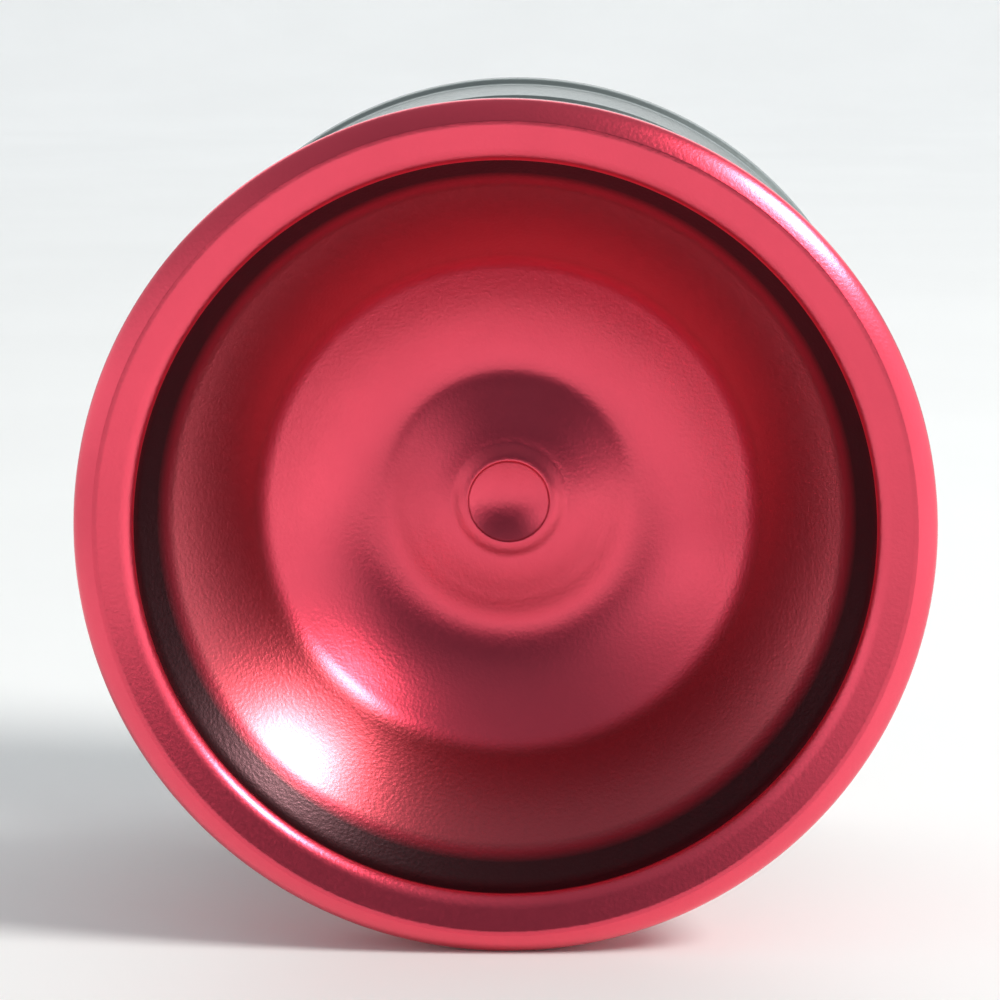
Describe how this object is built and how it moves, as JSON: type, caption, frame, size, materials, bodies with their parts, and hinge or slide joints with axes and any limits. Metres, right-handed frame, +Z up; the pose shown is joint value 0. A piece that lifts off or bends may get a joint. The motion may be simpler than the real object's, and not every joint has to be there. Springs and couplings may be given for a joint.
{
  "type": "yo-yo",
  "caption": "Wide metal yo-yo standing on its rims: two cupped halves with undercut rims and dished centre bosses, screwed together around a ball bearing and response pads.",
  "frame": {"origin": "middle of the string gap on the spin axis, which is also the centre of the bearing and of the whole yo-yo", "axes": "+Y along the spin axis from the front (red) half to the rear half; +Z up with the yo-yo standing on its two rims; +X to the right seen from the front"},
  "size_m": [0.056, 0.0422, 0.056],
  "materials": {
    "red_anodised_aluminium": "fine bead-blasted and anodised red, satin",
    "silver_anodised_aluminium": "fine bead-blasted and clear anodised, satin",
    "axle_steel": "machined alloy steel, lightly oiled",
    "bearing_steel": "ground stainless steel",
    "shield_steel": "pressed stainless sheet, satin",
    "cage_steel": "pressed stainless ribbon",
    "ball_steel": "polished bearing steel",
    "silicone_rubber": "matt silicone"
  },
  "bodies": {
    "core": {"rear_half": "silver_anodised_aluminium", "rear_response_pad": "silicone_rubber", "bearing_inner_race": "bearing_steel"},
    "stud": {"axle": "axle_steel"},
    "front": {"front_half": "red_anodised_aluminium", "front_response_pad": "silicone_rubber"},
    "bearing_outer": {"bearing_outer_race": "bearing_steel", "bearing_shield_front": "shield_steel", "bearing_shield_rear": "shield_steel", "bearing_snap_ring_front": "axle_steel", "bearing_snap_ring_rear": "axle_steel"},
    "bearing_cage": {"bearing_cage_front": "cage_steel", "bearing_cage_rear": "cage_steel"},
    "ball_01": {"bearing_ball_01": "ball_steel"},
    "ball_02": {"bearing_ball_02": "ball_steel"},
    "ball_03": {"bearing_ball_03": "ball_steel"},
    "ball_04": {"bearing_ball_04": "ball_steel"},
    "ball_05": {"bearing_ball_05": "ball_steel"},
    "ball_06": {"bearing_ball_06": "ball_steel"},
    "ball_07": {"bearing_ball_07": "ball_steel"},
    "ball_08": {"bearing_ball_08": "ball_steel"},
    "ball_09": {"bearing_ball_09": "ball_steel"},
    "ball_10": {"bearing_ball_10": "ball_steel"}
  },
  "joints": [
    {"name": "bearing_spin", "type": "hinge", "parent": "core", "child": "bearing_outer", "pos_m": [0, 0, 0], "axis": [0, 1, 0], "continuous": true},
    {"name": "cage_spin", "type": "hinge", "parent": "core", "child": "bearing_cage", "pos_m": [0, 0, 0], "axis": [0, 1, 0], "continuous": true},
    {"name": "front_half_turn", "type": "hinge", "parent": "core", "child": "stud", "pos_m": [0, 0, 0], "axis": [0, -1, 0], "range_deg": [0, 2365.7]},
    {"name": "front_half_travel", "type": "slide", "parent": "stud", "child": "front", "axis": [0, -1, 0], "range_m": [0, 0.0046]},
    {"name": "ball_spin_01", "type": "hinge", "parent": "bearing_cage", "child": "ball_01", "pos_m": [0.00476, 0, 0], "axis": [0, 1, 0], "continuous": true},
    {"name": "ball_spin_02", "type": "hinge", "parent": "bearing_cage", "child": "ball_02", "pos_m": [0.00385, 0, -0.0028], "axis": [0, 1, 0], "continuous": true},
    {"name": "ball_spin_03", "type": "hinge", "parent": "bearing_cage", "child": "ball_03", "pos_m": [0.00147, 0, -0.00453], "axis": [0, 1, 0], "continuous": true},
    {"name": "ball_spin_04", "type": "hinge", "parent": "bearing_cage", "child": "ball_04", "pos_m": [-0.00147, 0, -0.00453], "axis": [0, 1, 0], "continuous": true},
    {"name": "ball_spin_05", "type": "hinge", "parent": "bearing_cage", "child": "ball_05", "pos_m": [-0.00385, 0, -0.0028], "axis": [0, 1, 0], "continuous": true},
    {"name": "ball_spin_06", "type": "hinge", "parent": "bearing_cage", "child": "ball_06", "pos_m": [-0.00476, 0, 0], "axis": [0, 1, 0], "continuous": true},
    {"name": "ball_spin_07", "type": "hinge", "parent": "bearing_cage", "child": "ball_07", "pos_m": [-0.00385, 0, 0.0028], "axis": [0, 1, 0], "continuous": true},
    {"name": "ball_spin_08", "type": "hinge", "parent": "bearing_cage", "child": "ball_08", "pos_m": [-0.00147, 0, 0.00453], "axis": [0, 1, 0], "continuous": true},
    {"name": "ball_spin_09", "type": "hinge", "parent": "bearing_cage", "child": "ball_09", "pos_m": [0.00147, 0, 0.00453], "axis": [0, 1, 0], "continuous": true},
    {"name": "ball_spin_10", "type": "hinge", "parent": "bearing_cage", "child": "ball_10", "pos_m": [0.00385, 0, 0.0028], "axis": [0, 1, 0], "continuous": true}
  ],
  "couplings": [
    {"joint": "cage_spin", "follows": "bearing_spin", "ratio": 0.58333},
    {"joint": "front_half_travel", "follows": "front_half_turn", "m_per_rad": 0.00011141},
    {"joint": "ball_spin_01", "follows": "bearing_spin", "ratio": 2.9167},
    {"joint": "ball_spin_02", "follows": "bearing_spin", "ratio": 2.9167},
    {"joint": "ball_spin_03", "follows": "bearing_spin", "ratio": 2.9167},
    {"joint": "ball_spin_04", "follows": "bearing_spin", "ratio": 2.9167},
    {"joint": "ball_spin_05", "follows": "bearing_spin", "ratio": 2.9167},
    {"joint": "ball_spin_06", "follows": "bearing_spin", "ratio": 2.9167},
    {"joint": "ball_spin_07", "follows": "bearing_spin", "ratio": 2.9167},
    {"joint": "ball_spin_08", "follows": "bearing_spin", "ratio": 2.9167},
    {"joint": "ball_spin_09", "follows": "bearing_spin", "ratio": 2.9167},
    {"joint": "ball_spin_10", "follows": "bearing_spin", "ratio": 2.9167}
  ]
}
